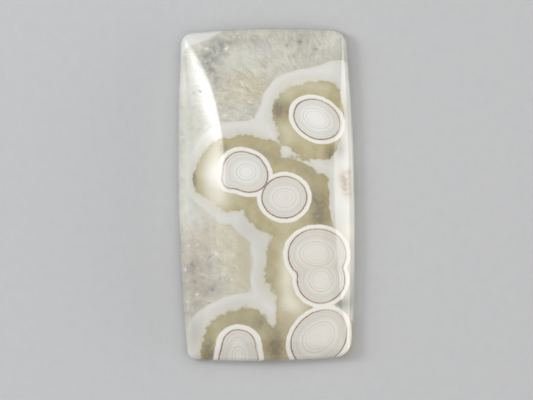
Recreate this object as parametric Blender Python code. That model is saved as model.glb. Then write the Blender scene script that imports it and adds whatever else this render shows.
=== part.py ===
"""A rectangular agate cabochon: one polished stone with a flat back and a domed face.

The stone lies on its back at z = 0, with its long axis along Y. Units are metres.
"""

import math

import bmesh
import bpy
from mathutils import Vector

# The size of the stone
LENGTH = 0.0400
WIDTH = 0.0212
THICKNESS = 0.0060

# Its outline: long bowed sides, slightly bowed ends and four corners ground by hand
SIDE_RADIUS = 0.274
END_RADIUS = 0.112
CORNER_TOP_RIGHT = 0.0019
CORNER_TOP_LEFT = 0.00145
CORNER_BOTTOM_LEFT = 0.00115
CORNER_BOTTOM_RIGHT = 0.0020

# The edge: a small chamfer round the back, then a wall that leans in towards the dome
BACK_CHAMFER = 0.0004
WALL_TOP = 0.0020
WALL_LEAN = 0.00022

# How full the dome is across and along: 1 is half an ellipse, larger is a flatter arc
DOME_ARC_ACROSS = 1.15
DOME_ARC_ALONG = 1.02

# Steps along a quarter of the outline, and rings from the wall to the top of the dome
SIDE_STEPS = 13
CORNER_STEPS = 7
END_STEPS = 7
DOME_RINGS = 12

# The stone's average colour and its polish
STONE_COLOUR = (0.49, 0.45, 0.35, 1.0)
STONE_ROUGHNESS = 0.12
SMOOTH_ANGLE = math.radians(25)


def clear_scene():
    for item in list(bpy.data.objects):
        bpy.data.objects.remove(item, do_unlink=True)


def arc_point(centre, radius, angle):
    return centre + radius * Vector((math.cos(angle), math.sin(angle)))


def corner_centre(side_centre, end_centre, corner_radius):
    """Where a corner's arc is centred, so that it runs smoothly into its side and its end."""
    from_side = SIDE_RADIUS - corner_radius
    from_end = END_RADIUS - corner_radius
    between = end_centre - side_centre
    span = between.length
    along = (from_side**2 - from_end**2 + span**2) / (2 * span)
    across = math.sqrt(from_side**2 - along**2)
    forward = between / span
    return side_centre + along * forward + across * Vector((-forward.y, forward.x))


def quarter_outline(corner_radius, inset):
    """A quarter of the outline, from the middle of a side to the middle of an end."""
    side_centre = Vector((WIDTH / 2 - SIDE_RADIUS, 0.0))
    end_centre = Vector((0.0, LENGTH / 2 - END_RADIUS))
    centre = corner_centre(side_centre, end_centre, corner_radius)
    to_corner = centre - side_centre
    side_angle = math.atan2(to_corner.y, to_corner.x)
    to_corner = centre - end_centre
    end_angle = math.atan2(to_corner.y, to_corner.x)

    arcs = (
        (side_centre, SIDE_RADIUS, 0.0, side_angle, SIDE_STEPS),
        (centre, corner_radius, side_angle, end_angle, CORNER_STEPS),
        (end_centre, END_RADIUS, end_angle, math.pi / 2, END_STEPS),
    )
    points = []
    for arc_centre, radius, start, stop, steps in arcs:
        for step in range(steps):
            angle = start + (stop - start) * step / steps
            points.append(arc_point(arc_centre, radius - inset, angle))
    points.append(arc_point(end_centre, END_RADIUS - inset, math.pi / 2))
    return points


def outline(inset):
    """The whole outline, anticlockwise from the middle of the right side."""
    quarters = (
        (1, 1, CORNER_TOP_RIGHT),
        (-1, 1, CORNER_TOP_LEFT),
        (-1, -1, CORNER_BOTTOM_LEFT),
        (1, -1, CORNER_BOTTOM_RIGHT),
    )
    points = []
    for side, end, corner_radius in quarters:
        quarter = [Vector((side * p.x, end * p.y)) for p in quarter_outline(corner_radius, inset)]
        if side * end < 0:
            quarter.reverse()
        points.extend(quarter[:-1])
    return points


def arc_height(place, fullness):
    """The height of an arc from 1 at its middle to 0 at its end, where place is 1."""
    lowest = math.sqrt(fullness**2 - 1)
    reach = max(fullness**2 - place**2, lowest**2)
    return (math.sqrt(reach) - lowest) / (fullness - lowest)


def dome_height(x, y):
    """The face of the stone: an arc across it and an arc along it, rounded into each other."""
    half_width = WIDTH / 2 - SIDE_RADIUS + math.sqrt((SIDE_RADIUS - WALL_LEAN) ** 2 - y**2)
    half_length = LENGTH / 2 - END_RADIUS + math.sqrt((END_RADIUS - WALL_LEAN) ** 2 - x**2)
    across = arc_height(x / half_width, DOME_ARC_ACROSS)
    along = arc_height(y / half_length, DOME_ARC_ALONG)
    if across * along == 0.0:
        return WALL_TOP
    rise = across * along / (across + along - across * along)
    return WALL_TOP + (THICKNESS - WALL_TOP) * rise


def add_ring(bm, points):
    return [bm.verts.new(point) for point in points]


def join_rings(bm, lower, upper):
    count = len(lower)
    for index in range(count):
        after = (index + 1) % count
        bm.faces.new((lower[index], lower[after], upper[after], upper[index]))


def stone_mesh():
    bm = bmesh.new()
    back = add_ring(bm, [(p.x, p.y, 0.0) for p in outline(BACK_CHAMFER)])
    bm.faces.new(reversed(back))
    widest = add_ring(bm, [(p.x, p.y, BACK_CHAMFER) for p in outline(0.0)])
    join_rings(bm, back, widest)

    wall_top = outline(WALL_LEAN)
    below = widest
    for ring in range(DOME_RINGS, 0, -1):
        share = math.sin(math.pi / 2 * ring / DOME_RINGS)
        places = [point * share for point in wall_top]
        above = add_ring(bm, [(p.x, p.y, dome_height(p.x, p.y)) for p in places])
        join_rings(bm, below, above)
        below = above
    top = bm.verts.new((0.0, 0.0, THICKNESS))
    for index, corner in enumerate(below):
        bm.faces.new((corner, below[(index + 1) % len(below)], top))

    bmesh.ops.recalc_face_normals(bm, faces=bm.faces)
    mesh = bpy.data.meshes.new("agate_cabochon")
    bm.to_mesh(mesh)
    bm.free()
    return mesh


def stone_material():
    material = bpy.data.materials.new("polished_agate")
    material.use_nodes = True
    shader = material.node_tree.nodes["Principled BSDF"]
    shader.inputs["Base Color"].default_value = STONE_COLOUR
    shader.inputs["Roughness"].default_value = STONE_ROUGHNESS
    shader.inputs["Metallic"].default_value = 0.0
    return material


def build_cabochon():
    mesh = stone_mesh()
    mesh.materials.append(stone_material())
    mesh.shade_smooth()
    mesh.set_sharp_from_angle(angle=SMOOTH_ANGLE)
    stone = bpy.data.objects.new("agate_cabochon", mesh)
    bpy.context.scene.collection.objects.link(stone)
    return stone


clear_scene()
build_cabochon()
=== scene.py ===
"""A polished orbicular agate cabochon, lying on its flat back under soft studio light."""

import math

import bmesh
import bpy
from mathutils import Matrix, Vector


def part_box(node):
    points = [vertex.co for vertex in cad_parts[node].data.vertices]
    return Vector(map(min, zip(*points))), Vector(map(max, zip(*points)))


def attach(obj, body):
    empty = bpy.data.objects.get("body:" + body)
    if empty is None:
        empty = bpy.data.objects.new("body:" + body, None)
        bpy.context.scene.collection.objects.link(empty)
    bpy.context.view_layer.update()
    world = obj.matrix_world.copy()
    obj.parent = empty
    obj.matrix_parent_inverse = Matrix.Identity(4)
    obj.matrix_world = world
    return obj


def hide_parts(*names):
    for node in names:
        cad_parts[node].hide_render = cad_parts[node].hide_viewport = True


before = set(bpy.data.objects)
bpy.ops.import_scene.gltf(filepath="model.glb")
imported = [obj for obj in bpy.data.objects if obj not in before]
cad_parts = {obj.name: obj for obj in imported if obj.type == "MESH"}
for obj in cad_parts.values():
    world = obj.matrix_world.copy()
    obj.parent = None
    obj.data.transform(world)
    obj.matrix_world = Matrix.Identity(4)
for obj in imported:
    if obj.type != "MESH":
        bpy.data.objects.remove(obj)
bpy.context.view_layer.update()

# Shapes are in metres, and the marking on the stone is in millimetres.
MM_PER_METRE = 1000

# The stone's size comes from the frame, and the shape of its edge from the lapidary's cut.
stone_low, stone_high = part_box("agate_cabochon")
WIDTH = stone_high.x - stone_low.x
LENGTH = stone_high.y - stone_low.y
THICKNESS = stone_high.z - stone_low.z
SIDE_RADIUS = 0.274
END_RADIUS = 0.112
CORNER_TOP_RIGHT = 0.0019
CORNER_TOP_LEFT = 0.00145
CORNER_BOTTOM_LEFT = 0.00115
CORNER_BOTTOM_RIGHT = 0.0020
BACK_CHAMFER = 0.0004
WALL_TOP = 0.0020
WALL_LEAN = 0.00022
DOME_ARC_ACROSS = 1.15
DOME_ARC_ALONG = 1.02

# How finely the polished surface is divided
SIDE_STEPS = 60
CORNER_STEPS = 20
END_STEPS = 30
DOME_RINGS = 110
WALL_RINGS = 6
BACK_RINGS = 30
ROUNDING_STEPS = 5

# How much closer together the dome's rings lie towards its edge
RING_GATHERING = 1.45

# How far the polishing wheel rounds the edge of the face, and both edges of the chamfer
FACE_ROUNDING = 0.00032
BACK_ROUNDING = 0.00008

# Tiny pits that the polish left open: where they are, how wide and how deep
PITS = (
    ((-0.00762, 0.01244), 0.00019, 0.00013),
    ((-0.00774, 0.01255), 0.00012, 0.00006),
    ((-0.00848, 0.01238), 0.00016, 0.00007),
    ((-0.00842, 0.01220), 0.00010, 0.00004),
    ((-0.0095, 0.0172), 0.00018, 0.00004),
)

# How far round a pit the surface is divided more finely, in its radii, and into how many cuts
PIT_SURROUND = 3
PIT_CUTS = 4


def add_object(name, data):
    """Puts a mesh, light or camera into the scene."""
    thing = bpy.data.objects.new(name, data)
    bpy.context.scene.collection.objects.link(thing)
    return thing


def mesh_of(bm, name):
    """Turns a finished form into a mesh."""
    mesh = bpy.data.meshes.new(name)
    bm.to_mesh(mesh)
    bm.free()
    return mesh


# The stone's shape


def arc_point(centre, radius, angle):
    return centre + radius * Vector((math.cos(angle), math.sin(angle)))


def corner_centre(side_centre, end_centre, corner_radius):
    """The middle of a corner's arc, which runs smoothly into the side's and the end's."""
    from_side = SIDE_RADIUS - corner_radius
    from_end = END_RADIUS - corner_radius
    between = end_centre - side_centre
    span = between.length
    along = (from_side**2 - from_end**2 + span**2) / (2 * span)
    across = math.sqrt(from_side**2 - along**2)
    forward = between / span
    return side_centre + along * forward + across * Vector((-forward.y, forward.x))


def quarter_outline(corner_radius, inset):
    """A quarter of the outline, from the middle of a side to the middle of an end."""
    side_centre = Vector((WIDTH / 2 - SIDE_RADIUS, 0.0))
    end_centre = Vector((0.0, LENGTH / 2 - END_RADIUS))
    centre = corner_centre(side_centre, end_centre, corner_radius)
    to_corner = centre - side_centre
    side_angle = math.atan2(to_corner.y, to_corner.x)
    to_corner = centre - end_centre
    end_angle = math.atan2(to_corner.y, to_corner.x)

    arcs = (
        (side_centre, SIDE_RADIUS, 0.0, side_angle, SIDE_STEPS),
        (centre, corner_radius, side_angle, end_angle, CORNER_STEPS),
        (end_centre, END_RADIUS, end_angle, math.pi / 2, END_STEPS),
    )
    points = []
    for arc_centre, radius, start, stop, steps in arcs:
        for step in range(steps):
            angle = start + (stop - start) * step / steps
            points.append(arc_point(arc_centre, radius - inset, angle))
    points.append(arc_point(end_centre, END_RADIUS - inset, math.pi / 2))
    return points


def outline(inset):
    """The whole outline, anticlockwise from the middle of the right side."""
    quarters = (
        (1, 1, CORNER_TOP_RIGHT),
        (-1, 1, CORNER_TOP_LEFT),
        (-1, -1, CORNER_BOTTOM_LEFT),
        (1, -1, CORNER_BOTTOM_RIGHT),
    )
    points = []
    for side, end, corner_radius in quarters:
        quarter = [Vector((side * p.x, end * p.y)) for p in quarter_outline(corner_radius, inset)]
        if side * end < 0:
            quarter.reverse()
        points.extend(quarter[:-1])
    return points


def arc_height(place, fullness):
    """The height of an arc from 1 at its middle to 0 at its end, where place is 1."""
    lowest = math.sqrt(fullness**2 - 1)
    reach = max(fullness**2 - place**2, lowest**2)
    return (math.sqrt(reach) - lowest) / (fullness - lowest)


def face_height(x, y):
    """The domed face: an arc across it and an arc along it, rounded into each other."""
    half_width = WIDTH / 2 - SIDE_RADIUS + math.sqrt((SIDE_RADIUS - WALL_LEAN) ** 2 - y**2)
    half_length = LENGTH / 2 - END_RADIUS + math.sqrt((END_RADIUS - WALL_LEAN) ** 2 - x**2)
    across = arc_height(x / half_width, DOME_ARC_ACROSS)
    along = arc_height(y / half_length, DOME_ARC_ALONG)
    if across * along == 0.0:
        return WALL_TOP
    rise = across * along / (across + along - across * along)
    return WALL_TOP + (THICKNESS - WALL_TOP) * rise


def rounded(before, corner, after):
    """Rings that turn smoothly from one surface into the next, inside the sharp corner."""
    rings = []
    for step in range(ROUNDING_STEPS + 1):
        t = step / ROUNDING_STEPS
        weights = ((1 - t) ** 2, 2 * t * (1 - t), t**2)
        rings.append([a * weights[0] + b * weights[1] + c * weights[2]
                      for a, b, c in zip(before, corner, after)])
    return rings


def towards(start, end, distance):
    """The points that distance along the way from one ring to the next."""
    return [a + (b - a).normalized() * distance for a, b in zip(start, end)]


def flat_ring(inset, height):
    return [Vector((p.x, p.y, height)) for p in outline(inset)]


def face_ring(inset, share=1.0):
    places = [p * share for p in outline(inset)]
    return [Vector((p.x, p.y, face_height(p.x, p.y))) for p in places]


def stone_rings():
    """The stone's rings, from the top of the dome over the edge to the middle of the back."""
    rings = []
    for ring in range(1, DOME_RINGS):
        share = math.sin(RING_GATHERING * ring / DOME_RINGS) / math.sin(RING_GATHERING)
        rings.append(face_ring(WALL_LEAN + FACE_ROUNDING, share))

    face_edge = face_ring(WALL_LEAN)
    widest = flat_ring(0.0, BACK_CHAMFER)
    back_edge = flat_ring(BACK_CHAMFER, 0.0)
    wall_start = towards(face_edge, widest, FACE_ROUNDING)
    wall_end = towards(widest, face_edge, BACK_ROUNDING)
    rings += rounded(face_ring(WALL_LEAN + FACE_ROUNDING), face_edge, wall_start)
    for ring in range(1, WALL_RINGS):
        share = ring / WALL_RINGS
        rings.append([a.lerp(b, share) for a, b in zip(wall_start, wall_end)])
    rings += rounded(wall_end, widest, towards(widest, back_edge, BACK_ROUNDING))
    back_start = flat_ring(BACK_CHAMFER + BACK_ROUNDING, 0.0)
    rings += rounded(towards(back_edge, widest, BACK_ROUNDING), back_edge, back_start)
    for ring in range(1, BACK_RINGS):
        share = 1 - ring / BACK_RINGS
        rings.append([point * share for point in back_start])
    return rings


def grow_rings(bm, rings):
    """Extrudes ring after ring, and closes the first and the last to a point."""
    turn = bm.verts.layers.int.new("turn")
    first = bmesh.ops.create_circle(bm, segments=len(rings[0]), radius=WIDTH)["verts"]
    for index, vert in enumerate(first):
        vert[turn] = index
        vert.co = rings[0][index]
    edges = list(bm.edges)
    for places in rings[1:]:
        grown = bmesh.ops.extrude_edge_only(bm, edges=edges)["geom"]
        ring_verts = {item for item in grown if isinstance(item, bmesh.types.BMVert)}
        for vert in ring_verts:
            vert.co = places[vert[turn]]
        edges = [item for item in grown if isinstance(item, bmesh.types.BMEdge)
                 and all(vert in ring_verts for vert in item.verts)]

    bmesh.ops.pointmerge(bm, verts=first, merge_co=(0.0, 0.0, THICKNESS))
    bmesh.ops.pointmerge(bm, verts=list(ring_verts), merge_co=(0.0, 0.0, 0.0))


def open_pits(bm):
    """Presses the tiny round pits into the face."""
    for (x, y), radius, depth in PITS:
        centre = Vector((x, y))
        near = [
            edge for edge in bm.edges
            if all(vert.co.z > WALL_TOP and (vert.co.xy - centre).length < PIT_SURROUND * radius
                   for vert in edge.verts)
        ]
        bmesh.ops.subdivide_edges(bm, edges=near, cuts=PIT_CUTS, use_grid_fill=True)
        for vert in bm.verts:
            away = (vert.co.xy - centre).length / radius
            if away < PIT_SURROUND and vert.co.z > WALL_TOP:
                vert.co.z = face_height(vert.co.x, vert.co.y)
                if away < 1:
                    vert.co.z -= depth * (1 - away**2) ** 2


def note_depth(mesh):
    """Keeps how far each point lies below the domed face, in millimetres."""
    depth = mesh.attributes.new("depth", "FLOAT", "POINT")
    for vert, held in zip(mesh.vertices, depth.data):
        below = face_height(vert.co.x, vert.co.y) - vert.co.z
        held.value = MM_PER_METRE * max(below, 0.0)


def make_stone():
    bm = bmesh.new()
    grow_rings(bm, stone_rings())
    open_pits(bm)
    bmesh.ops.recalc_face_normals(bm, faces=bm.faces)
    mesh = mesh_of(bm, "agate_stone")
    mesh.shade_smooth()
    note_depth(mesh)
    return add_object("agate_stone", mesh)


# Shader maths


def linear(colour):
    """An everyday 0 to 255 colour as the linear values that a shader takes."""
    shares = [part / 255 for part in colour]
    return tuple(s / 12.92 if s <= 0.04045 else ((s + 0.055) / 1.055) ** 2.4 for s in shares) + (1.0,)


def set_stops(ramp, stops):
    """Gives a ramp its stops, each of them a place along it and a colour."""
    while len(ramp.elements) < len(stops):
        ramp.elements.new(1.0)
    for element, (place, colour) in zip(ramp.elements, stops):
        element.position = place
        element.color = colour


def grey_stops(shares):
    """The stops of a ramp that only dims, each a place and its share of full brightness."""
    return [(place, (share, share, share, 1.0)) for place, share in shares]


class Field:
    """A number or a colour that changes through the stone. Maths on it adds Math nodes."""

    def __init__(self, recipe, socket):
        self.recipe = recipe
        self.socket = socket

    def maths(self, operation, *others):
        return self.recipe.maths(operation, self, *others)

    def __add__(self, other):
        return self.maths("ADD", other)

    def __radd__(self, other):
        return self.maths("ADD", other)

    def __sub__(self, other):
        return self.maths("SUBTRACT", other)

    def __rsub__(self, other):
        return self.recipe.maths("SUBTRACT", other, self)

    def __mul__(self, other):
        return self.maths("MULTIPLY", other)

    def __rmul__(self, other):
        return self.maths("MULTIPLY", other)

    def __truediv__(self, other):
        return self.maths("DIVIDE", other)

    def __neg__(self):
        return self.maths("MULTIPLY", -1.0)


class Recipe:
    """One material's nodes."""

    def __init__(self, name):
        self.material = bpy.data.materials.new(name)
        self.material.use_nodes = True
        self.tree = self.material.node_tree
        self.shader = self.tree.nodes["Principled BSDF"]

    def add(self, kind, settings=None, inputs=None, output=0):
        """Adds a node: its settings first, then its sockets' values or links."""
        node = self.tree.nodes.new(kind)
        for name, value in (settings or {}).items():
            if name == "stops":
                set_stops(node.color_ramp, value)
            else:
                setattr(node, name, value)
        for key, value in (inputs or {}).items():
            self.feed(node.inputs[key], value)
        return Field(self, node.outputs[output])

    def feed(self, socket, value):
        """Links a field to a socket, or gives the socket a plain value."""
        if isinstance(value, Field):
            self.tree.links.new(value.socket, socket)
        else:
            socket.default_value = value

    def maths(self, operation, *values):
        return self.add("ShaderNodeMath", {"operation": operation}, dict(enumerate(values)))

    def step(self, value, low, high):
        """0 at low and 1 at high, with a smooth change between them. Low may be the larger."""
        limits = {1: low, 2: high, 3: 0.0, 4: 1.0}
        if low > high:
            limits = {1: high, 2: low, 3: 1.0, 4: 0.0}
        settings = {"interpolation_type": "SMOOTHSTEP"}
        return self.add("ShaderNodeMapRange", settings, {0: value, **limits})

    def noise(self, place, scale, detail, roughness=0.5, output="Fac"):
        inputs = {"Vector": place, "Scale": scale, "Detail": detail, "Roughness": roughness}
        return self.add("ShaderNodeTexNoise", {"noise_dimensions": "3D"}, inputs, output)

    def swing(self, place, scale, detail, roughness=0.5):
        """Noise from -0.5 to 0.5."""
        return self.noise(place, scale, detail, roughness) - 0.5

    def mix(self, share, first, second, blend="MIX"):
        """Two colours mixed. The node has its colours at 6 and 7, and the mixed one at 2."""
        settings = {"data_type": "RGBA", "blend_type": blend, "clamp_factor": True}
        return self.add("ShaderNodeMix", settings, {0: share, 6: first, 7: second}, output=2)

    def ramp(self, value, stops):
        colours = tuple((place, linear(colour)) for place, colour in stops)
        return self.add("ShaderNodeValToRGB", {"stops": colours}, {0: value})

    def lighten(self, colour, amount):
        """Multiplies a colour by a number that may change through the stone."""
        inputs = {0: colour, "Scale": amount}
        return self.add("ShaderNodeVectorMath", {"operation": "SCALE"}, inputs)

    def vector(self, x, y, z):
        return self.add("ShaderNodeCombineXYZ", None, {0: x, 1: y, 2: z})

    def dot(self, first, second):
        inputs = {0: first, 1: second}
        return self.add("ShaderNodeVectorMath", {"operation": "DOT_PRODUCT"}, inputs, "Value")

    def split(self, kind, value):
        """The first two parts of a vector or a colour."""
        outputs = self.add(kind, None, {0: value}).socket.node.outputs
        return Field(self, outputs[0]), Field(self, outputs[1])


class Spot:
    """A place in the marking, with the two vectors that an oval is worked out from."""

    def __init__(self, recipe, x, y):
        self.x = x
        self.y = y
        self.straight = recipe.vector(x, y, 1.0)
        self.squared = recipe.vector(x * x, x * y, y * y)


# The marking, in millimetres from the middle of the stone: +X to the right and +Y to the top.
# It is laid out as it looks from above, where the dome is a little nearer than the edge.
SEEN_LARGER = 1.011
SEEN_HIGHER = -0.05

# How far the marking leans to the left and down for each millimetre of depth, and how much
# slower its grain changes with depth than across the face
LEAN_LEFT = 0.45
LEAN_DOWN = 0.10
SLOWER_IN_DEPTH = 0.6

# Each eye is one oval or two: the middle, the two half axes out to the brown line, and the turn
EYE_TOP_RIGHT = ((6.24, 8.91), 2.93, 2.25, -30)
EYE_LEFT = ((-2.45, 2.74), 2.80, 2.28, -33)
EYE_LEFT_CORNER = ((-4.12, 1.92), 1.20, 1.12, 0)
EYE_MIDDLE = ((2.14, -0.40), 2.68, 2.48, 0)
EYE_TWIN_UPPER = ((5.94, -7.35), 3.48, 3.10, 0)
EYE_TWIN_LOWER = ((6.38, -10.40), 2.88, 2.80, 0)
EYE_BOTTOM_RIGHT = ((6.00, -17.45), 3.75, 3.00, 45)
EYE_BOTTOM_LEFT = ((-3.70, -18.0), 1.98, 1.76, 0)
EYE_BOTTOM_LEFT_FOOT = ((-3.75, -20.0), 2.38, 2.60, 0)

# The eyes in the order in which they are joined, and how softly each runs into those before it
LEFT_EYES = (
    (EYE_LEFT, 0.0),
    (EYE_LEFT_CORNER, 0.8),
    (EYE_MIDDLE, 0.15),
)
TWIN_EYES = (
    (EYE_TWIN_UPPER, 0.0),
    (EYE_TWIN_LOWER, 0.5),
)
TWINS_SOFTNESS = 0.3
OTHER_EYES = (
    (EYE_BOTTOM_LEFT_FOOT, 0.3),
    (EYE_BOTTOM_LEFT, 0.8),
    (EYE_TOP_RIGHT, 0.3),
    (EYE_BOTTOM_RIGHT, 0.3),
)

# The thin ring round the middle of each eye, and how softly two of them meet
INNER_RINGS = (
    ((6.20, 9.02), 1.70, 1.08, -26),
    ((-2.36, 2.73), 1.14, 0.96, 0),
    ((2.16, -0.46), 1.38, 1.10, 0),
    ((5.88, -7.26), 2.02, 1.42, -6),
    ((6.36, -10.36), 1.44, 1.44, 0),
    ((5.96, -17.35), 2.16, 1.56, 40),
    ((-3.74, -19.45), 0.80, 1.10, 0),
)
INNER_SOFTNESS = 0.12

# How far the zones round the eyes reach out from the brown line
RIM_REACH = 0.58
MOSS_REACH = 2.35
BAND_REACH = 3.75

# Where moss or white band reach further or less far: place, half axes, turn, moss, band
REACH_PATCHES = (
    ((1.4, 6.1), 1.4, 1.0, 0, 0.85, 0.0),
    ((3.8, 4.9), 1.6, 0.7, -31, 0.45, 0.0),
    ((2.6, 5.45), 0.36, 0.30, -40, -0.20, 0.0),
    ((6.5, 3.9), 2.2, 0.6, -5, 0.15, 0.0),
    ((7.2, -1.6), 1.0, 2.0, 0, 1.0, 0.0),
    ((9.15, -3.3), 1.4, 2.4, 0, -3.6, 0.9),
    ((9.5, 2.2), 1.5, 2.2, 0, -1.0, 1.8),
    ((11.2, 0.0), 2.2, 2.6, 0, -0.9, 1.8),
    ((10.6, -8.4), 1.1, 4.2, 0, -3.8, 1.4),
    ((9.7, -13.7), 1.7, 1.8, 0, -3.8, 1.6),
    ((-4.8, -1.8), 1.5, 0.8, 0, 0.45, 0.0),
    ((10.4, 9.0), 1.1, 3.3, 0, -3.2, 1.4),
    ((9.9, 5.6), 1.25, 1.9, 0, -2.6, 1.6),
    ((4.7, 4.5), 1.1, 0.35, -25, 0.36, 0.0),
    ((4.9, 3.65), 1.2, 0.22, -25, -0.40, 0.0),
    ((7.0, 4.3), 1.4, 0.5, 0, 0.2, 0.0),
    ((-8.7, 1.9), 1.7, 2.6, 0, 1.1, 0.8),
    ((-5.7, -2.7), 1.2, 0.9, 0, 0.4, 0.0),
    ((-5.0, 8.2), 2.0, 1.2, 20, -0.30, 0.0),
    ((-0.8, -11.0), 1.9, 2.4, 0, 1.15, 2.2),
    ((1.6, -13.9), 1.5, 1.2, 0, 1.15, 0.0),
    ((-3.1, -13.0), 1.1, 1.1, 0, 0.5, 0.0),
    ((8.0, 13.1), 1.5, 1.2, 0, 0.5, 0.0),
    ((4.3, 13.2), 1.9, 1.1, 20, -0.35, 0.0),
    ((1.4, 11.8), 1.4, 1.4, 0, -0.25, -0.25),
    ((9.9, 16.0), 3.2, 1.9, 0, 0.0, 2.6),
    ((-1.0, 8.9), 1.1, 1.0, 0, 0.0, 0.85),
    ((-3.0, -4.3), 1.6, 1.2, -30, 0.0, 0.6),
    ((-6.0, -3.6), 2.2, 1.2, 0, 0.0, 0.8),
    ((-1.2, -6.2), 1.2, 1.3, 0, 0.0, 0.9),
    ((-6.6, -13.6), 2.6, 1.3, 25, 0.0, 0.45),
    ((-4.3, -12.3), 1.7, 1.0, 15, 0.0, 0.75),
    ((-1.5, -14.2), 1.1, 0.8, -35, 0.45, 0.0),
    ((-8.0, -17.2), 1.5, 3.0, 0, -0.15, 0.8),
    ((7.5, 1.9), 0.9, 1.3, 0, 0.75, 0.0),
    ((-3.9, 6.9), 1.7, 0.8, 0, -0.45, 0.0),
    ((-9.4, -15.6), 1.6, 1.9, 0, 0.0, 0.6),
    ((0.5, -16.8), 0.9, 1.0, 0, 0.5, 0.0),
    ((3.5, -24.8), 7.2, 3.6, 0, 0.6, 0.0),
)
MOSS_PATCHES = [(*place, moss) for *place, moss, band in REACH_PATCHES if moss]
BAND_PATCHES = [(*place, band) for *place, moss, band in REACH_PATCHES if band]

# Each patch below is a place, its half axes, its turn and its strength.

# Where the white rim is broader
BROAD_RIM = (
    ((-3.6, -18.4), 4.5, 4.5, 0, 0.20),
    ((10.0, -18.8), 1.6, 2.0, 0, 0.25),
)

# Where the brown line fades
LINE_FADES = (
    ((-5.1, 1.9), 0.9, 1.6, 0, 0.8),
    ((8.9, 8.2), 0.9, 2.2, 0, 0.65),
    ((6.8, 11.2), 2.2, 0.8, -20, 0.4),
    ((9.2, -6.6), 1.5, 3.4, 0, 1.0),
    ((6.4, -4.3), 2.6, 0.6, 0, 0.55),
    ((7.8, -14.5), 2.4, 1.1, -25, 0.8),
    ((-3.0, -16.6), 2.6, 0.6, 10, 0.5),
    ((-1.3, -18.3), 0.7, 1.8, 0, 0.8),
    ((9.0, -15.4), 1.2, 1.6, 0, 0.7),
    ((3.7, 1.3), 1.7, 1.4, 0, 0.45),
    ((-3.6, 4.4), 1.8, 1.0, 30, 0.45),
)

# Eyes with a creamier middle
CREAMY_EYES = (
    ((2.1, -0.4), 3.0, 2.8, 0, 0.45),
    ((2.3, -0.5), 0.6, 0.5, 0, 0.40),
    ((6.0, -8.6), 3.5, 4.9, 0, 0.85),
    ((6.0, -17.6), 3.5, 3.5, 0, 0.65),
    ((-3.6, -19.4), 3.6, 4.0, 0, 0.45),
)

# Moss: where it is dense, where it glows cream, in its first two places partly painted glare at the
# lower end of the left highlight, and where it is stained brown
DEEP_MOSS = (
    ((6.2, -1.3), 1.1, 2.3, 8, 0.9),
    ((4.9, 2.7), 1.4, 0.8, -40, 0.45),
    ((1.6, 4.3), 2.2, 0.9, -30, 0.20),
    ((6.2, -3.3), 1.1, 0.9, 0, 0.6),
    ((1.9, 10.1), 1.4, 1.1, -15, 1.1),
    ((-4.9, 5.6), 0.5, 0.5, 0, 0.9),
    ((-0.4, 4.9), 2.2, 0.6, -30, 0.35),
    ((7.9, 4.9), 0.6, 0.8, 0, 0.9),
    ((0.9, -18.3), 1.3, 2.2, 0, 1.1),
    ((-1.1, -15.4), 0.8, 0.9, 0, 0.5),
    ((-7.4, -19.0), 0.8, 2.1, 0, 1.0),
    ((-8.9, 2.4), 0.5, 1.5, 10, 0.9),
    ((1.0, -8.0), 1.0, 3.0, 0, 0.15),
    ((-3.2, -15.2), 2.4, 1.2, 0, 0.35),
)
CREAM_GLOW_AND_GLARE = (
    # The first two are partly painted glare at the lower end of the left highlight
    ((-6.1, 2.8), 1.6, 2.0, 0, 0.95),
    ((-6.0, -0.4), 1.7, 1.3, 0, 0.8),
    ((5.6, 12.9), 3.2, 0.9, -10, 0.25),
    ((2.6, 12.0), 1.2, 0.9, 30, 0.22),
    ((2.3, -9.8), 1.0, 3.8, 0, 0.78),
    ((3.0, -13.5), 1.6, 1.2, 0, 0.7),
    ((0.8, -0.6), 0.5, 2.0, 0, 0.2),
    ((2.6, 7.4), 0.9, 1.4, 20, 0.35),
    ((10.2, -4.6), 1.2, 1.1, 0, 0.9),
)
BROWN_GLOW = (
    ((2.0, -14.7), 1.2, 1.3, 0, 0.6),
    ((2.0, -18.6), 0.8, 2.2, 0, 0.75),
    ((9.5, 1.1), 0.55, 1.5, 12, 1.3),
    ((10.0, 2.4), 0.3, 0.6, 0, 0.6),
    ((-2.9, -7.4), 0.8, 3.2, 0, 0.30),
)

# Quartz: dark clouds, tints, and where it is pale and smooth, which along the left edge is partly
# painted sheen from the soft side of the left highlight
SMUDGES = (
    ((-5.7, 17.7), 1.3, 1.2, 30, 0.85),
    ((-6.9, 16.2), 1.2, 1.0, 0, 0.85),
    ((-6.2, 14.5), 0.6, 1.7, 20, 0.85),
    ((-4.0, 18.3), 1.5, 0.6, 20, 0.5),
    ((5.0, 17.3), 2.4, 1.4, -20, 0.4),
    ((-0.2, 11.4), 1.6, 1.6, 0, 0.25),
    ((-4.6, 11.0), 0.9, 1.2, 0, 0.3),
    ((-9.3, -8.4), 0.7, 0.9, 0, 0.7),
    ((-8.0, -9.4), 1.7, 1.7, 0, 0.35),
    ((-9.8, -10.9), 0.7, 0.8, 0, 0.5),
    ((-6.8, -11.3), 1.2, 0.9, 20, 0.6),
    ((-8.7, -13.4), 1.4, 1.1, 20, 0.5),
    ((0.1, 15.6), 0.4, 0.4, 0, 0.8),
    ((7.8, 16.0), 2.0, 1.4, 0, 0.25),
    ((-10.2, 6.6), 0.8, 1.4, 0, 0.30),
)
WARM_TINT = (
    ((-2.6, 13.2), 2.6, 1.8, -15, 0.8),
    ((-0.6, 12.6), 1.0, 1.2, 0, 0.8),
    ((-3.2, -8.8), 1.5, 3.0, 0, 0.65),
    ((-0.1, 15.7), 0.7, 0.8, 0, 0.5),
)
BEIGE_TINT = (
    ((-6.8, -4.4), 2.8, 2.2, 0, 0.85),
    ((-4.8, -8.2), 1.8, 3.8, 0, 0.60),
    ((-9.2, 11.2), 1.6, 1.3, 0, 0.40),
)
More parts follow.
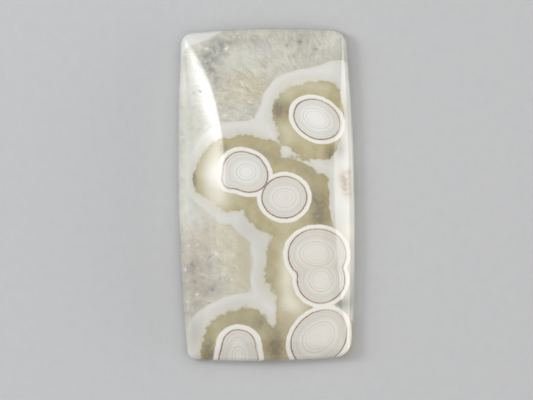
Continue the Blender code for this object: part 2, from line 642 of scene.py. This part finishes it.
LILAC_TINT = (
    ((-9.1, -8.2), 2.2, 3.0, 0, 0.95),
    ((-8.0, -11.6), 1.9, 1.6, 0, 0.60),
    ((-3.9, 14.4), 1.6, 0.8, 0, 0.25),
)
PALE_AND_SHEEN_PATCHES = (
    # The first four lie along the left edge, where the pale is partly painted sheen of the left
    # highlight
    ((-10.2, 10.0), 1.9, 6.5, 0, 0.95),
    ((-10.3, 0.6), 1.6, 4.0, 0, 0.85),
    ((-8.6, 4.6), 1.8, 2.4, 0, 0.7),
    ((-8.6, -2.5), 2.2, 1.5, -20, 0.7),
    ((-1.4, 16.6), 2.6, 1.2, -10, 0.45),
    ((-4.6, 15.6), 1.2, 1.0, 0, 0.3),
    ((9.0, 18.2), 1.6, 1.8, 0, 0.35),
)

# The chalky patch at the top left corner
CHALKY = (
    ((-8.0, 19.55), 4.4, 1.25, 20, 1.0),
    ((-10.3, 17.2), 0.7, 2.4, 0, 0.7),
)

# White bands: where the outer border is hazy, where they are duller, and where they are whiter, which
# along the right edge is partly painted reflection of the right window
HAZY_BORDER = (
    ((-9.0, 2.0), 2.2, 5.5, 0, 0.93),
    ((-2.0, -8.0), 1.2, 3.8, 0, 0.88),
    ((-9.4, -15.5), 1.5, 3.0, 0, 0.75),
)
DULL_BAND = (
    ((8.6, -13.3), 0.55, 0.45, 0, 0.8),
    ((9.4, -13.4), 1.0, 1.1, 0, 0.85),
    ((10.3, -11.8), 0.6, 2.0, 0, 0.45),
    ((9.0, 5.3), 0.65, 1.1, 0, 0.60),
    ((-2.6, -4.4), 2.6, 1.2, -30, 0.20),
    ((-1.5, -8.6), 1.6, 4.2, 0, 0.12),
    ((-9.2, -16.6), 1.1, 2.4, 0, 0.36),
    ((-4.6, -13.2), 2.4, 0.8, 20, 0.14),
)
# Whiter band along the right edge, partly painted reflection of the right window
WHITE_BAND_AND_SHEEN = (
    ((9.8, 1.6), 1.6, 4.2, 0, 0.65),
    ((11.0, 5.6), 0.9, 2.6, 0, 0.9),
)

# Painted glints where single crystals catch the light, with one broad painted sheen at the left edge
# beside the left highlight; and specks and pits that stay dark
PAINTED_GLINTS = (
    ((-9.7, 13.6), 1.0, 2.0, 0, 0.7),
    ((-10.0, -8.9), 0.16, 0.20, 0, 0.8),
    ((-9.8, -12.8), 0.14, 0.14, 0, 0.7),
    ((-8.6, -11.9), 0.22, 0.13, 30, 0.9),
    ((-6.15, -7.0), 0.26, 0.34, 30, 0.45),
    ((-5.35, -9.4), 0.22, 0.26, 40, 0.5),
    ((-4.4, -10.2), 0.16, 0.16, 0, 0.7),
    ((-9.5, -6.0), 0.14, 0.14, 0, 0.6),
    ((-8.4, -5.9), 0.30, 0.10, 30, 0.5),
    ((-7.9, -9.5), 1.3, 0.07, -22, 0.28),
    ((-4.5, 17.7), 0.34, 0.20, 40, 0.9),
    ((-9.5, 17.1), 0.16, 0.14, 0, 0.9),
    ((-2.9, 19.0), 0.14, 0.12, 0, 0.8),
    ((-5.6, 17.1), 0.14, 0.14, 0, 0.6),
    ((-6.9, 17.7), 0.22, 0.16, 30, 0.7),
    ((-3.6, 19.0), 0.24, 0.12, 30, 0.6),
    ((-2.7, 13.4), 0.12, 0.34, 25, 0.6),
    ((-1.8, 11.1), 0.30, 0.12, -25, 0.7),
    ((-2.3, 10.1), 0.14, 0.22, 0, 0.6),
    ((-2.7, 15.2), 0.14, 0.22, 0, 0.5),
)
DARK_FLECKS = (
    ((-7.70, 12.53), 0.19, 0.13, -30, 1.4),
    ((-8.57, 12.47), 0.14, 0.12, 0, 0.7),
    ((-8.47, 12.29), 0.10, 0.10, 0, 0.6),
    ((4.4, 18.3), 0.26, 0.34, 0, 0.8),
    ((2.8, 17.9), 0.22, 0.26, 0, 0.7),
    ((6.3, 17.4), 0.30, 0.20, 20, 0.6),
    ((3.6, 16.6), 0.18, 0.34, 20, 0.5),
    ((-2.0, 12.6), 0.12, 0.36, 35, 0.6),
    ((-1.6, 10.8), 0.34, 0.10, -25, 0.6),
    ((-4.3, 13.6), 0.16, 0.26, 0, 0.5),
    ((0.7, 13.0), 0.14, 0.30, 20, 0.5),
    ((-9.2, -8.3), 0.16, 0.14, 0, 0.7),
    ((-6.7, -11.35), 0.26, 0.26, 0, 0.6),
    ((-5.8, -10.0), 0.20, 0.20, 0, 0.5),
    ((-6.9, -7.4), 0.60, 0.12, 35, 0.5),
    ((-8.9, -10.4), 0.22, 0.22, 0, 0.6),
    ((-7.2, -12.9), 0.50, 0.10, -20, 0.5),
)

# Soft places with one use each: a place, its half axes and its turn
MIST_PLACE = ((-2.4, -7.6), 2.2, 4.6, 0)
# White fog left of the left eye, partly painted glare at the lower end of the left highlight
FOG_AND_GLARE_PLACE = ((-6.0, 2.0), 1.3, 1.5, 0)
# Where a reflection is painted on the lower quartz, right of the left highlight
PAINTED_REFLECTION_PLACE = ((-7.0, -5.4), 0.8, 4.2, 0)

# The places that the long quartz grains grow away from
UPPER_GRAIN_ROOT = (6.2, 9.0)
LOWER_GRAIN_ROOT = (6.5, -17.0)

# The sharp left edge of a reflection painted on the lower quartz: where the painted reflection starts
# and is full, and its slant
REFLECTION_EDGE = (-7.20, -7.04)
REFLECTION_SLANT = 0.05

# Where a zone starts to show and where it is full, in millimetres past its border
MOSS_EDGE = (0.15, -0.15)
BAND_EDGE = (0.08, -0.10)
RIM_EDGE = (0.08, -0.07)
LINE_EDGE = (0.13, 0.01)
EYE_EDGE = (-0.02, -0.14)

# How far the borders stray, in millimetres
EYE_SWAY = 0.18
EYE_WAVER = 0.07
MOSS_TEETH = 0.9
BAND_SWAY = 0.4
RIM_SWAY = 0.24
LINE_FRAY = 0.12

# Noises: how fine each is, how detailed, and how rough
SWAY_NOISE = (0.5, 1.0)
WAVER_NOISE = (2.6, 2.0)
TEETH_NOISE = (1.4, 2.0)
BAND_NOISE = (0.6, 2.0)
RIM_NOISE = (1.3, 3.0)
FRAY_NOISE = (3.5, 2.0)
FADE_NOISE = (1.6, 3.0, 0.6)
RING_SWAY_NOISE = (1.1, 2.0)
RING_NOISE = (1.0, 1.0)
EYE_CLOUD = (1.6, 3.0)
MOSS_CLOUD = (0.7, 2.0)
MOSS_CLOTS = (1.5, 1.0)
MOSS_FIBRES = (2.4, 4.0, 0.6)
BAND_CLOUD = (0.8, 3.0)
BROWN_MOTTLE = (2.2, 3.0, 0.6)
QUARTZ_CLOUD = (0.32, 3.0, 0.55)
QUARTZ_GRAIN = (4.2, 4.0, 0.7)
QUARTZ_MOTTLE = (0.9, 3.0, 0.6)
STREAK_BEND = (0.6, 2.0)
STREAK_NOISE = (1.0, 4.0, 0.65)
SMUDGE_NOISE = (1.5, 2.0)
FLECK_NOISE = (0.9, 2.0)
FLOOR_NOISE = (900.0, 2.0)

# The growth rings of an eye: how many fine ones, how far they sway, and their contrast
FINE_RINGS = 55.0
RING_SWAY = 0.022
RING_CONTRAST = 0.08
EYE_CLOUDING = 0.05
ALMOST_ZERO = 0.0001

# How far the brown line fades everywhere, and how unevenly
LINE_UNFADED = 0.40
LINE_UNEVEN = 1.3

# The moss: where its cloud turns from khaki to light khaki, and what fibres and clots add to it
KHAKI_TURN = (-0.16, 0.16)
FIBRES_IN_CLOUD = 0.25
CLOTS_IN_CLOUD = 0.35

# The moss's dark grain: its three noises, its contrast, how uneven its dense places are, and
# its toasted outer edge
DARK_FIBRES = 0.9
DARK_CLOTS = 1.1
DARK_CLOUD = 0.5
MOSS_CONTRAST = 0.15
DENSE_UNEVEN = 1.2
TOASTED_WIDTH = 0.6
TOASTED = 0.22

# How far the layers of a white band wander
BAND_CLOUDING = 0.10

# The mist in the quartz beside a band: how strong it is, and how it thins with each millimetre
MIST_THERE = 0.90
MIST_ELSEWHERE = 0.08
MIST_THINS = -0.3

# Where the chalk starts and is full, how dense the white fog is, which is partly painted glare at the
# lower end of the left highlight, and how the brown stain is mottled
CHALK_EDGE = (0.30, 0.62)
FOG_AND_GLARE_DENSITY = 0.68
BROWN_TURN = (0.30, 0.62)
BROWN_MOTTLED = 0.6
BROWN_EVEN = 0.5

# The quartz's long grains: how many stand round their root, how fast they change along their
# length, how they waver, and their contrast, which is less in the lower quartz
STREAKS_ROUND = 22.0
STREAK_CHANGE = 0.7
STREAK_WAVER = 3.0
STREAK_CONTRAST = 0.95
LOWER_STREAKS_LESS = 0.30

# The quartz's clouds, fine grain and mottling, and how it is where it is pale
CLOUD_TURN = (0.35, 0.65)
GRAIN_CONTRAST = 0.42
MOTTLE_CONTRAST = 0.24
LOWER_MOTTLE_MORE = 0.12
PALE_CALMS = 0.45
PALE_MOTTLED = 2.4
PALE_EVEN = 0.76
# How strongly the painted reflection on the lower quartz shows
PAINTED_REFLECTION_DENSITY = 0.55

# The quartz's dark clouds: how the long grains show in them, and how grainy they are
STREAKS_IN_SMUDGES = 0.4
SMUDGE_TURN = (0.30, 0.64)
SMUDGE_GRAINY = 0.75
SMUDGE_EVEN = 0.20

# The quartz's bright specks, which are painted glints: how fine, how large, where they gather, and
# how bright
SPECKS = 2.8
SPECK_EDGE = (0.22, 0.08)
SPECKS_IN_SMUDGES = 0.06
SPECK_TURN = (0.52, 0.64)
GLINT_BRIGHTNESS = 0.85

# Colours as they look in daylight
LINE_BROWN = (128, 105, 88)
LINE_FAINT = (194, 181, 165)
KHAKI_LIGHT = (187, 177, 141)
KHAKI = (176, 164, 125)
KHAKI_DEEP = (136, 127, 103)
# Cream glow, partly painted glare beside the left highlight
CREAM_AND_GLARE_TONE = (230, 226, 207)
GLOW_BROWN = (184, 169, 143)
QUARTZ_COOL = (190, 188, 177)
QUARTZ = (206, 203, 187)
QUARTZ_WARM = (198, 190, 164)
QUARTZ_BEIGE = (205, 197, 176)
QUARTZ_LILAC = (193, 183, 170)
QUARTZ_DARK = (147, 146, 140)
# Pale quartz, partly painted sheen along the left edge
QUARTZ_PALE_AND_SHEEN = (216, 217, 208)
# The colour of glints painted on the quartz
QUARTZ_GLINT = (236, 235, 229)
QUARTZ_TINTS = (
    (WARM_TINT, QUARTZ_WARM),
    (BEIGE_TINT, QUARTZ_BEIGE),
    (LILAC_TINT, QUARTZ_LILAC),
)
# White band, partly painted reflection of the right window along the right edge
BAND_WHITE_AND_SHEEN = (230, 228, 220)
BAND_DULL = (160, 157, 144)
CHALK = (224, 224, 218)
MIST = (195, 187, 161)
# White fog, partly painted glare of the left highlight
FOG_AND_GLARE = (237, 235, 227)
# The colour of the reflection painted on the lower quartz
PAINTED_REFLECTION = (212, 212, 200)
FLOOR_DARKER = (192, 192, 193)
FLOOR_LIGHTER = (198, 198, 198)

# What a creamy eye's colour is multiplied by
EYE_CREAM = (0.88, 0.84, 0.79, 1.0)

# An eye from its brown line at 0 to its thin ring at 0.5, and on to its middle
EYE_RINGS = (
    (0.000, (206, 195, 181)),
    (0.050, (219, 215, 205)),
    (0.085, (219, 215, 206)),
    (0.105, (206, 198, 189)),
    (0.130, (219, 215, 208)),
    (0.180, (217, 214, 207)),
    (0.228, (216, 214, 205)),
    (0.248, (205, 201, 192)),
    (0.270, (217, 216, 206)),
    (0.315, (218, 218, 208)),
    (0.335, (214, 212, 202)),
    (0.360, (223, 221, 214)),
    (0.425, (225, 224, 217)),
    (0.470, (225, 223, 216)),
    (0.492, (203, 195, 186)),
    (0.514, (227, 225, 218)),
    (0.555, (230, 228, 222)),
    (0.585, (218, 215, 208)),
    (0.610, (229, 227, 221)),
    (0.800, (231, 229, 223)),
)

# A white band from the moss at 0 to the quartz at 1
BAND_LAYERS = (
    (0.00, (201, 196, 178)),
    (0.20, (209, 206, 194)),
    (0.48, (213, 211, 202)),
    (0.74, (218, 217, 210)),
    (0.88, (216, 215, 207)),
    (0.95, (214, 212, 203)),
    (1.00, (214, 212, 201)),
)

# The rim by its distance from the brown line, in millimetres
RIM_LAYERS = (
    (0.00, (212, 206, 195)),
    (0.16, (228, 224, 214)),
    (0.35, (233, 231, 223)),
    (0.60, (230, 227, 218)),
)

# How dull the polished face is, how much duller the ground wall and back are, and how far
# below the face that starts and is full, in millimetres
FACE_ROUGHNESS = 0.07
BACK_DULLER = 0.20
DULLER_FROM = 1.5
DULLEST_FROM = 3.0
AGATE_IOR = 1.54
FLOOR_ROUGHNESS = 0.8
FLOOR_SHINE = 0.2


def oval(recipe, spot, middle, half_long, half_short, turn):
    """The square of how many half axes a spot is from the middle of an oval."""
    angle = math.radians(turn)
    along = Vector((math.cos(angle), math.sin(angle))) / half_long
    across = Vector((-math.sin(angle), math.cos(angle))) / half_short
    from_along = along.dot(Vector(middle))
    from_across = across.dot(Vector(middle))
    squared = (
        along.x**2 + across.x**2,
        2 * (along.x * along.y + across.x * across.y),
        along.y**2 + across.y**2,
    )
    straight = (
        -2 * (along.x * from_along + across.x * from_across),
        -2 * (along.y * from_along + across.y * from_across),
        from_along**2 + from_across**2,
    )
    return recipe.dot(spot.squared, squared) + recipe.dot(spot.straight, straight)


def past_oval(recipe, spot, middle, half_long, half_short, turn):
    """About how many millimetres a spot is outside an oval."""
    size = math.sqrt(half_long * half_short)
    away = oval(recipe, spot, middle, half_long, half_short, turn).maths("SQRT")
    return (away - 1.0) * size


def past_ovals(recipe, spot, ovals, nearest=None):
    """About how many millimetres a spot is outside the nearest oval of a table, where each
    oval is given with how softly it runs into those before it."""
    for shape, softness in ovals:
        distance = past_oval(recipe, spot, *shape)
        if nearest is None:
            nearest = distance
        else:
            nearest = nearest.maths("SMOOTH_MIN", distance, softness)
    return nearest


def past_eyes(recipe, spot):
    """About how many millimetres a spot is outside the nearest eye's brown line."""
    left = past_ovals(recipe, spot, LEFT_EYES)
    twins = past_ovals(recipe, spot, TWIN_EYES)
    nearest = left.maths("SMOOTH_MIN", twins, TWINS_SOFTNESS)
    return past_ovals(recipe, spot, OTHER_EYES, nearest)


def past_inner_rings(recipe, spot):
    """About how many millimetres a spot is outside the nearest thin ring near an eye's middle."""
    return past_ovals(recipe, spot, [(ring, INNER_SOFTNESS) for ring in INNER_RINGS])


def patch(recipe, spot, middle, half_long, half_short, turn):
    """1 in the middle of a soft-edged oval patch, fading to 0 outside it."""
    away = oval(recipe, spot, middle, half_long, half_short, turn)
    return recipe.maths("POWER", math.exp(-1.0), away)


def patches(recipe, spot, table, total=0.0):
    """All the patches of a table, added to a total."""
    for *place, strength in table:
        total = patch(recipe, spot, *place).maths("MULTIPLY_ADD", strength, total)
    return total


def stone_places(recipe):
    """The spot in the marking, the place in the depth of the stone and that depth, in millimetres."""
    x, y = recipe.split("ShaderNodeSeparateXYZ", recipe.add("ShaderNodeTexCoord", output="Object"))
    depth = recipe.add("ShaderNodeAttribute", {"attribute_name": "depth"}, output="Fac")
    x = x * (MM_PER_METRE * SEEN_LARGER) + depth * LEAN_LEFT
    y = y * (MM_PER_METRE * SEEN_LARGER) + depth * LEAN_DOWN + SEEN_HIGHER
    return Spot(recipe, x, y), recipe.vector(x, y, depth * SLOWER_IN_DEPTH), depth


def wander(recipe, spot, solid, amount, kind):
    """A spot pushed a little to one side or the other, softly and never along its depth."""
    noise = recipe.noise(solid, *kind, output="Color")
    sideways, upwards = recipe.split("ShaderNodeSeparateColor", noise)
    x = spot.x + (sideways - 0.5) * amount
    y = spot.y + (upwards - 0.5) * amount
    return Spot(recipe, x, y)


def eye_colour(recipe, spot, outside, solid):
    """Thin grey and lilac growth rings inside the brown line, paler towards the middle."""
    inner = past_inner_rings(recipe, spot)
    from_line = recipe.maths("MAXIMUM", -outside, 0.0)
    from_inner = inner.maths("MAXIMUM", 0.0)
    between = from_line / (from_line + from_inner + ALMOST_ZERO)
    within = recipe.maths("MAXIMUM", -inner, 0.0)
    growth = (between + within * 0.5) * 0.5 + recipe.swing(solid, *RING_SWAY_NOISE) * RING_SWAY
    rings = recipe.ramp(growth, EYE_RINGS)
    rings = recipe.mix(patches(recipe, spot, CREAMY_EYES), rings, EYE_CREAM, "MULTIPLY")
    fine = recipe.swing(recipe.vector(growth * FINE_RINGS, 0.0, 0.0), *RING_NOISE)
    cloud = recipe.swing(solid, *EYE_CLOUD)
    return recipe.lighten(rings, fine * RING_CONTRAST + cloud * EYE_CLOUDING + 1.0)


def moss_colour(recipe, spot, solid, moss_edge):
    """Khaki moss: pale and darker clouds, dense places, and a toasted outer edge."""
    cloud = recipe.swing(solid, *MOSS_CLOUD)
    clots = recipe.swing(solid, *MOSS_CLOTS)
    fibres = recipe.swing(solid, *MOSS_FIBRES)
    shade = recipe.step(cloud + fibres * FIBRES_IN_CLOUD + clots * CLOTS_IN_CLOUD, *KHAKI_TURN)
    khaki = recipe.mix(shade, linear(KHAKI), linear(KHAKI_LIGHT))
    toasted = recipe.step(moss_edge, -TOASTED_WIDTH, 0.0) * TOASTED
    uneven = fibres * DARK_FIBRES + clots * DARK_CLOTS + cloud * DARK_CLOUD
    dense = patches(recipe, spot, DEEP_MOSS) * (uneven * DENSE_UNEVEN + 1.0)
    return recipe.mix(dense + uneven * MOSS_CONTRAST + toasted, khaki, linear(KHAKI_DEEP))


def band_colour(recipe, spot, solid, moss_edge, band_edge):
    """White chalcedony between the moss and the quartz."""
    across = moss_edge / (moss_edge - band_edge)
    cloud = recipe.swing(solid, *BAND_CLOUD)
    band = recipe.ramp(across + cloud * BAND_CLOUDING, BAND_LAYERS)
    # A whiter band, partly painted reflection of the right window along the right edge
    band = recipe.mix(patches(recipe, spot, WHITE_BAND_AND_SHEEN), band, linear(BAND_WHITE_AND_SHEEN))
    return recipe.mix(patches(recipe, spot, DULL_BAND), band, linear(BAND_DULL))


def crystal_streaks(recipe, spot, solid, root):
    """Long grains that grow away from a place in the stone, from -0.5 to 0.5."""
    x = root[0] - spot.x
    y = root[1] - spot.y
    turn = y.maths("ARCTAN2", x)
    distance = (x * x + y * y).maths("SQRT")
    waver = recipe.noise(solid, *STREAK_BEND) * STREAK_WAVER
    grain = recipe.vector(turn * STREAKS_ROUND + waver, distance * STREAK_CHANGE, 0.0)
    return recipe.swing(grain, *STREAK_NOISE)


def quartz_colour(recipe, spot, solid):
    """Crystalline quartz: tints, long grains, cloudy depth, dark specks, painted glints, pale places
    that are partly painted sheen, and a painted reflection.
    """
    cloud = recipe.noise(solid, *QUARTZ_CLOUD)
    tone = recipe.mix(recipe.step(cloud, *CLOUD_TURN), linear(QUARTZ_COOL), linear(QUARTZ))
    for table, tint in QUARTZ_TINTS:
        tone = recipe.mix(patches(recipe, spot, table), tone, linear(tint))

    lower = recipe.step(spot.y, 1.0, -1.0)
    upper_streaks = crystal_streaks(recipe, spot, solid, UPPER_GRAIN_ROOT)
    lower_streaks = crystal_streaks(recipe, spot, solid, LOWER_GRAIN_ROOT)
    streaks = upper_streaks * (1.0 - lower) + lower_streaks * lower
    fine = recipe.swing(solid, *QUARTZ_GRAIN)
    mottle = recipe.swing(solid, *QUARTZ_MOTTLE)
    uneven = streaks * (STREAK_CONTRAST - lower * LOWER_STREAKS_LESS) + fine * GRAIN_CONTRAST
    uneven = uneven + mottle * (lower * LOWER_MOTTLE_MORE + MOTTLE_CONTRAST)
    # Pale, smooth places, partly painted sheen of the left highlight along the left edge
    calm = patches(recipe, spot, PALE_AND_SHEEN_PATCHES).maths("MINIMUM", 1.0)
    tone = recipe.lighten(tone, uneven * (1.0 - calm * PALE_CALMS) + 1.0)
    pale = calm * (mottle * PALE_MOTTLED + PALE_EVEN)
    tone = recipe.mix(pale, tone, linear(QUARTZ_PALE_AND_SHEEN))

    # A painted reflection: a paler strip on the lower quartz with a sharp left edge
    past_reflection_edge = recipe.step(spot.x + spot.y * REFLECTION_SLANT, *REFLECTION_EDGE)
    reflection_share = past_reflection_edge * patch(recipe, spot, *PAINTED_REFLECTION_PLACE)
    tone = recipe.mix(reflection_share * PAINTED_REFLECTION_DENSITY, tone, linear(PAINTED_REFLECTION))

    smudge = patches(recipe, spot, SMUDGES)
    grainy = recipe.noise(solid, *SMUDGE_NOISE) + streaks * STREAKS_IN_SMUDGES
    grainy = recipe.step(grainy, *SMUDGE_TURN)
    dark = smudge * (grainy * SMUDGE_GRAINY + SMUDGE_EVEN) + patches(recipe, spot, DARK_FLECKS)
    tone = recipe.mix(dark, tone, linear(QUARTZ_DARK))

    # Painted glints: bright specks where crystals catch the light, and the listed ones
    speck = recipe.add("ShaderNodeTexVoronoi", None, {"Vector": solid, "Scale": SPECKS})
    gathered = recipe.noise(solid, *FLECK_NOISE) + smudge * SPECKS_IN_SMUDGES
    chosen = recipe.step(gathered, *SPECK_TURN) * (1.0 - calm)
    glint_share = recipe.step(speck, *SPECK_EDGE) * chosen + patches(recipe, spot, PAINTED_GLINTS)
    return recipe.mix(glint_share * GLINT_BRIGHTNESS, tone, linear(QUARTZ_GLINT))


def ground_colour(recipe, spot, solid, moss_edge, band_edge):
    """All that lies round the eyes: quartz, then white bands, then moss, and the glow in them, partly
    painted glare near the left highlight.
    """
    colour = quartz_colour(recipe, spot, solid)
    misty = patch(recipe, spot, *MIST_PLACE) * MIST_THERE + MIST_ELSEWHERE
    mist = (band_edge * MIST_THINS).maths("EXPONENT") * misty
    colour = recipe.mix(mist, colour, linear(MIST))

    band = band_colour(recipe, spot, solid, moss_edge, band_edge)
    crisp = 1.0 - patches(recipe, spot, HAZY_BORDER)
    colour = recipe.mix(recipe.step(band_edge * crisp, *BAND_EDGE), colour, band)
    chalk = recipe.step(patches(recipe, spot, CHALKY), *CHALK_EDGE)
    colour = recipe.mix(chalk, colour, linear(CHALK))

    moss = moss_colour(recipe, spot, solid, moss_edge)
    colour = recipe.mix(recipe.step(moss_edge, *MOSS_EDGE), colour, moss)
    # Cream glow, in two places partly painted glare at the lower end of the left highlight
    colour = recipe.mix(patches(recipe, spot, CREAM_GLOW_AND_GLARE), colour, linear(CREAM_AND_GLARE_TONE))
    # White fog, partly painted glare at the lower end of the left highlight
    colour = recipe.mix(patch(recipe, spot, *FOG_AND_GLARE_PLACE) * FOG_AND_GLARE_DENSITY, colour, linear(FOG_AND_GLARE))
    mottled = recipe.step(recipe.noise(solid, *BROWN_MOTTLE), *BROWN_TURN)
    brown = patches(recipe, spot, BROWN_GLOW) * (mottled * BROWN_MOTTLED + BROWN_EVEN)
    return recipe.mix(brown, colour, linear(GLOW_BROWN))


def with_eyes(recipe, ground, spot, strayed, solid, outside):
    """The eyes over the ground: white rim, brown line, and the rings inside it."""
    rim_edge = outside - RIM_REACH - patches(recipe, spot, BROAD_RIM)
    rim_edge = rim_edge + recipe.swing(solid, *RIM_NOISE) * RIM_SWAY
    rim = recipe.ramp(outside, RIM_LAYERS)
    colour = recipe.mix(recipe.step(rim_edge, *RIM_EDGE), ground, rim)

    unevenly = (recipe.noise(solid, *FADE_NOISE) - LINE_UNFADED) * LINE_UNEVEN
    fades = patches(recipe, spot, LINE_FADES) + unevenly
    line = recipe.mix(fades, linear(LINE_BROWN), linear(LINE_FAINT))
    frayed = outside + recipe.swing(solid, *FRAY_NOISE) * LINE_FRAY
    colour = recipe.mix(recipe.step(frayed, *LINE_EDGE), colour, line)

    rings = eye_colour(recipe, strayed, outside, solid)
    return recipe.mix(recipe.step(frayed, *EYE_EDGE), colour, rings)


def agate_finish():
    recipe = Recipe("polished_agate")
    spot, solid, depth = stone_places(recipe)
    strayed = wander(recipe, spot, solid, EYE_SWAY, SWAY_NOISE)
    strayed = wander(recipe, strayed, solid, EYE_WAVER, WAVER_NOISE)
    outside = past_eyes(recipe, strayed)
    moss_reach = patches(recipe, strayed, MOSS_PATCHES, MOSS_REACH)
    band_reach = patches(recipe, strayed, BAND_PATCHES, BAND_REACH)
    moss_edge = outside - moss_reach + recipe.swing(solid, *TEETH_NOISE) * MOSS_TEETH
    band_edge = outside - band_reach + recipe.swing(solid, *BAND_NOISE) * BAND_SWAY

    ground = ground_colour(recipe, spot, solid, moss_edge, band_edge)
    colour = with_eyes(recipe, ground, spot, strayed, solid, outside)
    roughness = recipe.step(depth, DULLER_FROM, DULLEST_FROM) * BACK_DULLER + FACE_ROUGHNESS
    recipe.feed(recipe.shader.inputs["Base Color"], colour)
    recipe.feed(recipe.shader.inputs["Roughness"], roughness)
    recipe.shader.inputs["IOR"].default_value = AGATE_IOR
    return recipe.material


def floor_finish():
    recipe = Recipe("pale_board")
    place = recipe.add("ShaderNodeTexCoord", output="Object")
    mottle = recipe.noise(place, *FLOOR_NOISE)
    tone = recipe.mix(mottle, linear(FLOOR_DARKER), linear(FLOOR_LIGHTER))
    recipe.feed(recipe.shader.inputs["Base Color"], tone)
    recipe.shader.inputs["Roughness"].default_value = FLOOR_ROUGHNESS
    recipe.shader.inputs["Specular IOR Level"].default_value = FLOOR_SHINE
    return recipe.material


# The setting

# Half the width of the floor
FLOOR_REACH = 2.0

# The view: straight down, with the stone leaning a little, as it was laid under the camera.
# The width of the view is measured where the stone is widest.
VIEW_WIDTH = 0.06402
CAMERA_HEIGHT = 0.42
STONE_LEAN = math.radians(1.1)
FRAME_BELOW_STONE = 0.00062
SENSOR_WIDTH = 36.0
NEAREST_SEEN = 0.01

# The left light: its brightness from its lower to its upper edge and along the stone, its
# colour, its angle from straight above, and how far along the stone and how far away it hangs
LEFT_UPWARD = (
    (0.0, 0.16),
    (0.1, 0.24),
    (0.32, 0.36),
    (0.47, 0.52),
    (0.63, 0.80),
    (0.8, 1.0),
    (0.93, 0.85),
    (1.0, 0.55),
)
LEFT_LENGTHWISE = (
    (0.0, 0.06),
    (0.13, 0.26),
    (0.27, 0.62),
    (0.38, 1.0),
    (0.6, 1.0),
    (0.72, 0.6),
    (0.8, 0.45),
    (0.92, 0.38),
    (1.0, 0.12),
)
LEFT_COLOUR = (0.95, 0.97, 1.0)
LEFT_ANGLE = -51
LEFT_ALONG = 0.088
LEFT_AWAY = 0.37

# The brightness of the room, from level (0) to straight up (1)
ROOM_BRIGHTNESS = (
    (0.0, 0.9),
    (0.16, 0.9),
    (0.30, 0.12),
)


def make_floor():
    bm = bmesh.new()
    bmesh.ops.create_grid(bm, x_segments=1, y_segments=1, size=FLOOR_REACH)
    mesh = mesh_of(bm, "floor")
    mesh.materials.append(floor_finish())
    return add_object("floor", mesh)


def soft_light(name, place, aim, along, up, radiance):
    """A flat panel of light, so long along the stone and so high. Its power follows
    from how bright its face is."""
    light = bpy.data.lights.new(name, "AREA")
    light.shape = "RECTANGLE"
    light.size = along
    light.size_y = up
    light.energy = radiance * math.pi * along * up
    lamp = add_object(name, light)
    lamp.location = place
    lamp.rotation_euler = (Vector(aim) - Vector(place)).to_track_quat("-Z", "Y").to_euler()
    return light


def fade(light, upward, lengthwise):
    """Makes a panel's brightness change from its lower to its upper edge and along it."""
    light.use_nodes = True
    tree = light.node_tree
    face = tree.nodes.new("ShaderNodeNewGeometry")
    split = tree.nodes.new("ShaderNodeSeparateXYZ")
    both = tree.nodes.new("ShaderNodeMath")
    both.operation = "MULTIPLY"
    tree.links.new(face.outputs["Parametric"], split.inputs[0])
    tree.links.new(both.outputs[0], tree.nodes["Emission"].inputs["Strength"])
    for axis, shares in enumerate((lengthwise, upward)):
        ramp = tree.nodes.new("ShaderNodeValToRGB")
        set_stops(ramp.color_ramp, grey_stops(shares))
        tree.links.new(split.outputs[axis], ramp.inputs[0])
        tree.links.new(ramp.outputs[0], both.inputs[axis])


def make_left_light():
    """The long softbox that makes the bright highlight down the left of the dome."""
    turn = math.radians(LEFT_ANGLE)
    place = (LEFT_AWAY * math.sin(turn), LEFT_ALONG, LEFT_AWAY * math.cos(turn))
    light = soft_light("left_softbox", place, aim=(0.0, LEFT_ALONG, 0.005),
                       along=0.168, up=0.245, radiance=14.0)
    light.color = LEFT_COLOUR
    fade(light, LEFT_UPWARD, LEFT_LENGTHWISE)


def make_camera():
    data = bpy.data.cameras.new("camera")
    data.sensor_fit = "HORIZONTAL"
    data.sensor_width = SENSOR_WIDTH
    data.lens = data.sensor_width * (CAMERA_HEIGHT - BACK_CHAMFER) / VIEW_WIDTH
    data.clip_start = NEAREST_SEEN
    camera = add_object("camera", data)
    camera.location = (
        -FRAME_BELOW_STONE * math.sin(STONE_LEAN),
        -FRAME_BELOW_STONE * math.cos(STONE_LEAN),
        CAMERA_HEIGHT,
    )
    camera.rotation_euler = (0.0, 0.0, -STONE_LEAN)
    bpy.context.scene.camera = camera


def make_world():
    """A dim room with pale screens standing all round, low over the table."""
    world = bpy.data.worlds.new("studio")
    world.use_nodes = True
    tree = world.node_tree
    place = tree.nodes.new("ShaderNodeTexCoord")
    split = tree.nodes.new("ShaderNodeSeparateXYZ")
    ramp = tree.nodes.new("ShaderNodeValToRGB")
    set_stops(ramp.color_ramp, grey_stops(ROOM_BRIGHTNESS))
    tree.links.new(place.outputs["Generated"], split.inputs[0])
    tree.links.new(split.outputs["Z"], ramp.inputs[0])
    tree.links.new(ramp.outputs[0], tree.nodes["Background"].inputs["Color"])
    tree.nodes["Background"].inputs["Strength"].default_value = 1.0
    bpy.context.scene.world = world


stone = make_stone()
stone.data.materials.append(agate_finish())
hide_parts("agate_cabochon")
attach(stone, "root")

make_floor()
make_camera()
make_world()
make_left_light()
soft_light("right_window", (0.45, -0.13, 0.11), aim=(0.0, -0.13, 0.11),
           along=0.33, up=0.22, radiance=3.0)
soft_light("right_window_low", (0.45, 0.19, 0.07), aim=(0.0, 0.19, 0.07),
           along=0.30, up=0.14, radiance=3.0)
soft_light("overhead", (0.06, 0.04, 0.60), aim=(0.06, 0.04, 0.0),
           along=1.2, up=1.45, radiance=0.84)
bpy.context.scene.view_settings.view_transform = "Standard"
